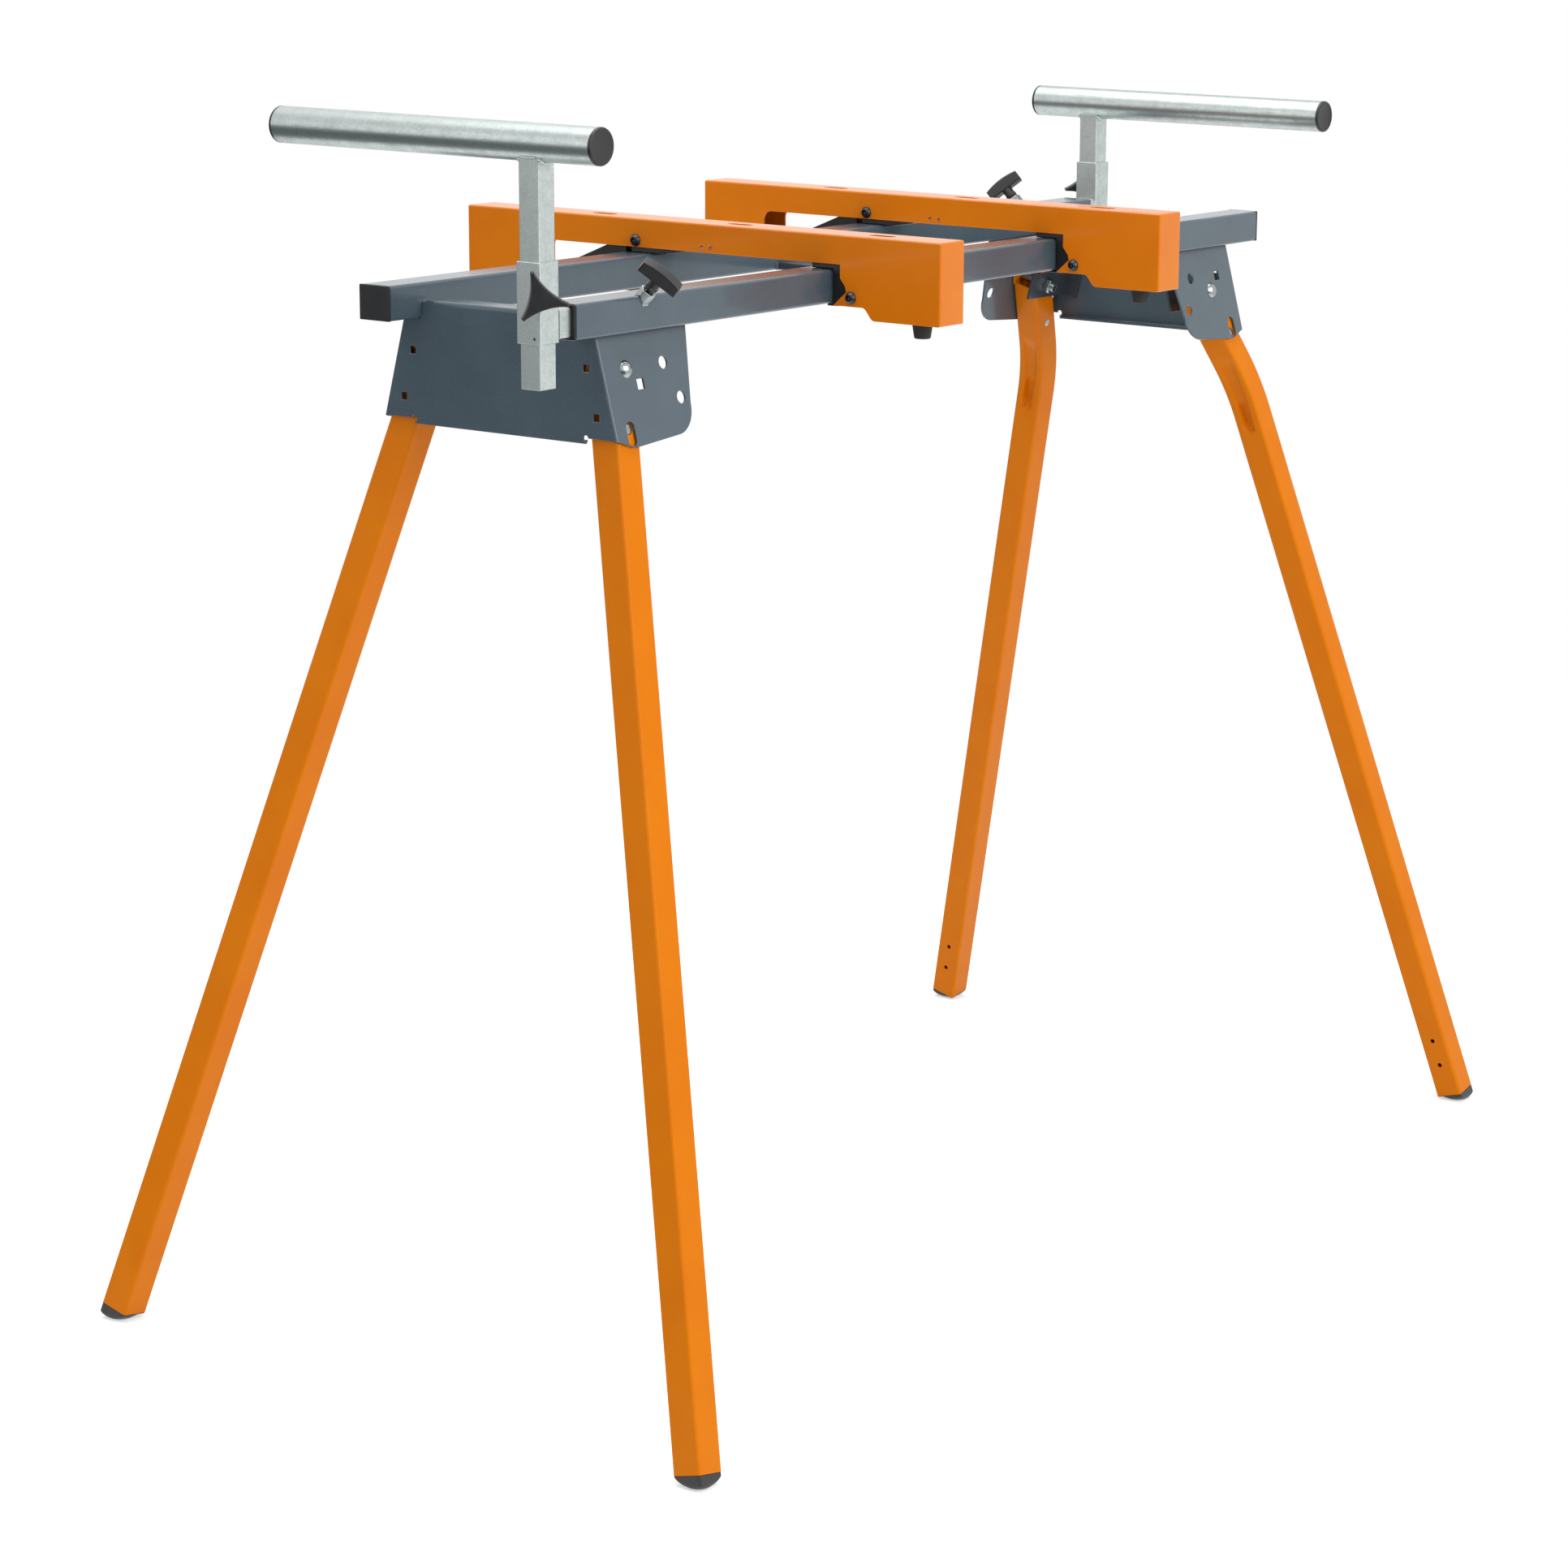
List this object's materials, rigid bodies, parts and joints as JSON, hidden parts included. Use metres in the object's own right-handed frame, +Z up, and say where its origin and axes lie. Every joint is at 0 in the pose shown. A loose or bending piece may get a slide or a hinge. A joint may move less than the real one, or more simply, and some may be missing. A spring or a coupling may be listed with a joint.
{
  "type": "folding miter saw stand",
  "caption": "Folding saw stand: twin rails on splayed fold-in legs, clamp-on slotted tool bars, and slide-out arms carrying height-adjustable round work supports.",
  "frame": {"origin": "on the floor, midway between the feet", "axes": "+X along the rails towards the far end, -Y towards the front, +Z up"},
  "size_m": [1.2998, 0.6656, 1.046],
  "materials": {
    "blue_grey_paint": "satin",
    "orange_paint": "satin powder coat",
    "zinc": "galvanised",
    "bright_zinc": "plated",
    "dark_plate": "satin",
    "spring_steel": "plain",
    "black_plastic": "moulded",
    "black_bolt": "black oxide",
    "rubber": "matt"
  },
  "bodies": {
    "frame": {"rail_front": "blue_grey_paint", "rail_back": "blue_grey_paint", "rail_end_caps": "black_plastic", "rail_mouth_liners": "black_plastic", "centre_brace": "dark_plate", "housing_near": "blue_grey_paint", "housing_far": "blue_grey_paint", "leg_brackets": "dark_plate", "pivot_bolts": "bright_zinc", "pivot_nuts": "bright_zinc", "arm_lock_nuts": "bright_zinc"},
    "leg_near_front": {"leg_near_front": "orange_paint", "foot_near_front": "rubber", "lock_spring_near_front": "spring_steel"},
    "leg_near_back": {"leg_near_back": "orange_paint", "foot_near_back": "rubber", "lock_spring_near_back": "spring_steel"},
    "leg_far_front": {"leg_far_front": "orange_paint", "foot_far_front": "rubber", "lock_spring_far_front": "spring_steel"},
    "leg_far_back": {"leg_far_back": "orange_paint", "foot_far_back": "rubber", "lock_spring_far_back": "spring_steel"},
    "button_near_front": {"lock_button_near_front": "bright_zinc"},
    "button_near_back": {"lock_button_near_back": "bright_zinc"},
    "button_far_front": {"lock_button_far_front": "bright_zinc"},
    "button_far_back": {"lock_button_far_back": "bright_zinc"},
    "arm_near": {"arm_near": "zinc", "sleeve_near": "zinc", "arm_slide_near": "black_plastic"},
    "column_near": {"column_near": "zinc", "support_tube_near": "zinc", "tube_caps_near": "black_plastic"},
    "arm_far": {"arm_far": "zinc", "sleeve_far": "zinc", "arm_slide_far": "black_plastic"},
    "column_far": {"column_far": "zinc", "support_tube_far": "zinc", "tube_caps_far": "black_plastic"},
    "star_stud_near": {"star_stud_near": "bright_zinc"},
    "star_knob_near": {"star_knob_near": "black_plastic"},
    "tee_stud_near": {"tee_stud_near": "bright_zinc"},
    "tee_knob_near": {"tee_knob_near": "black_plastic"},
    "star_stud_far": {"star_stud_far": "bright_zinc"},
    "star_knob_far": {"star_knob_far": "black_plastic"},
    "tee_stud_far": {"tee_stud_far": "bright_zinc"},
    "tee_knob_far": {"tee_knob_far": "black_plastic"},
    "bar_near": {"tool_bar_near": "orange_paint", "front_hook_near": "black_plastic", "saddle_pad_near": "black_plastic", "bar_fasteners_near": "black_bolt", "bar_feet_near": "rubber"},
    "latch_near": {"latch_lever_near": "black_plastic"},
    "bar_far": {"tool_bar_far": "orange_paint", "front_hook_far": "black_plastic", "saddle_pad_far": "black_plastic", "bar_fasteners_far": "black_bolt", "bar_feet_far": "rubber"},
    "latch_far": {"latch_lever_far": "black_plastic"}
  },
  "joints": [
    {"name": "fold_near_front", "type": "hinge", "parent": "frame", "child": "leg_near_front", "pos_m": [-0.4585, -0.10927, 0.84602], "axis": [0, -0.9659, 0.2588], "range_deg": [0, 102.4]},
    {"name": "fold_near_back", "type": "hinge", "parent": "frame", "child": "leg_near_back", "pos_m": [-0.4585, 0.10927, 0.84602], "axis": [0, -0.9659, -0.2588], "range_deg": [0, 102.4]},
    {"name": "fold_far_front", "type": "hinge", "parent": "frame", "child": "leg_far_front", "pos_m": [0.444, -0.11276, 0.83298], "axis": [0, 0.9659, -0.2588], "range_deg": [0, 100.6]},
    {"name": "fold_far_back", "type": "hinge", "parent": "frame", "child": "leg_far_back", "pos_m": [0.444, 0.11276, 0.83298], "axis": [0, 0.9659, 0.2588], "range_deg": [0, 100.6]},
    {"name": "press_near_front", "type": "slide", "parent": "leg_near_front", "child": "button_near_front", "axis": [0, 0.9659, -0.2588], "range_m": [0, 0.003], "stiffness_N_per_m": 700, "springref_m": -0.004, "deforming": ["lock_spring_near_front"]},
    {"name": "press_near_back", "type": "slide", "parent": "leg_near_back", "child": "button_near_back", "axis": [0, -0.9659, -0.2588], "range_m": [0, 0.003], "stiffness_N_per_m": 700, "springref_m": -0.004, "deforming": ["lock_spring_near_back"]},
    {"name": "press_far_front", "type": "slide", "parent": "leg_far_front", "child": "button_far_front", "axis": [0, 0.9659, -0.2588], "range_m": [0, 0.003], "stiffness_N_per_m": 700, "springref_m": -0.004, "deforming": ["lock_spring_far_front"]},
    {"name": "press_far_back", "type": "slide", "parent": "leg_far_back", "child": "button_far_back", "axis": [0, -0.9659, -0.2588], "range_m": [0, 0.003], "stiffness_N_per_m": 700, "springref_m": -0.004, "deforming": ["lock_spring_far_back"]},
    {"name": "arm_near_slide", "type": "slide", "parent": "frame", "child": "arm_near", "axis": [-1, 0, 0], "range_m": [-0.013, 0.9]},
    {"name": "column_near_slide", "type": "slide", "parent": "arm_near", "child": "column_near", "axis": [0, 0, 1], "range_m": [-0.074, 0.06]},
    {"name": "arm_far_slide", "type": "slide", "parent": "frame", "child": "arm_far", "axis": [1, 0, 0], "range_m": [-0.013, 0.9]},
    {"name": "column_far_slide", "type": "slide", "parent": "arm_far", "child": "column_far", "axis": [0, 0, 1], "range_m": [-0.041, 0.093]},
    {"name": "star_screw_near", "type": "slide", "parent": "arm_near", "child": "star_stud_near", "axis": [-0.7071, -0.7071, 0], "range_m": [0, 0.003]},
    {"name": "star_turn_near", "type": "hinge", "parent": "star_stud_near", "child": "star_knob_near", "pos_m": [-0.565, -0.1095, 0.913], "axis": [-0.7071, -0.7071, 0], "range_deg": [0, 900]},
    {"name": "tee_screw_near", "type": "slide", "parent": "frame", "child": "tee_stud_near", "axis": [0, -0.7071, 0.7071], "range_m": [0, 0.003]},
    {"name": "tee_turn_near", "type": "hinge", "parent": "tee_stud_near", "child": "tee_knob_near", "pos_m": [-0.439, -0.1135, 0.904], "axis": [0, -0.7071, 0.7071], "range_deg": [0, 900]},
    {"name": "star_screw_far", "type": "slide", "parent": "arm_far", "child": "star_stud_far", "axis": [0.7071, 0.7071, 0], "range_m": [0, 0.003]},
    {"name": "star_turn_far", "type": "hinge", "parent": "star_stud_far", "child": "star_knob_far", "pos_m": [0.565, 0.1095, 0.913], "axis": [0.7071, 0.7071, 0], "range_deg": [0, 900]},
    {"name": "tee_screw_far", "type": "slide", "parent": "frame", "child": "tee_stud_far", "axis": [0, 0.7071, 0.7071], "range_m": [0, 0.003]},
    {"name": "tee_turn_far", "type": "hinge", "parent": "tee_stud_far", "child": "tee_knob_far", "pos_m": [0.439, 0.1135, 0.904], "axis": [0, 0.7071, 0.7071], "range_deg": [0, 900]},
    {"name": "bar_near_slide", "type": "slide", "parent": "frame", "child": "bar_near", "axis": [1, 0, 0], "range_m": [-0.2, 0.14]},
    {"name": "latch_near_turn", "type": "hinge", "parent": "bar_near", "child": "latch_near", "pos_m": [-0.17, 0.0978, 0.915], "axis": [1, 0, 0], "range_deg": [0, 22]},
    {"name": "bar_far_slide", "type": "slide", "parent": "frame", "child": "bar_far", "axis": [1, 0, 0], "range_m": [-0.14, 0.2]},
    {"name": "latch_far_turn", "type": "hinge", "parent": "bar_far", "child": "latch_far", "pos_m": [0.177, 0.0978, 0.915], "axis": [1, 0, 0], "range_deg": [0, 22]}
  ],
  "couplings": [
    {"joint": "star_screw_near", "follows": "star_turn_near", "m_per_rad": 0.00015915},
    {"joint": "tee_screw_near", "follows": "tee_turn_near", "m_per_rad": 0.00015915},
    {"joint": "star_screw_far", "follows": "star_turn_far", "m_per_rad": 0.00015915},
    {"joint": "tee_screw_far", "follows": "tee_turn_far", "m_per_rad": 0.00015915}
  ]
}
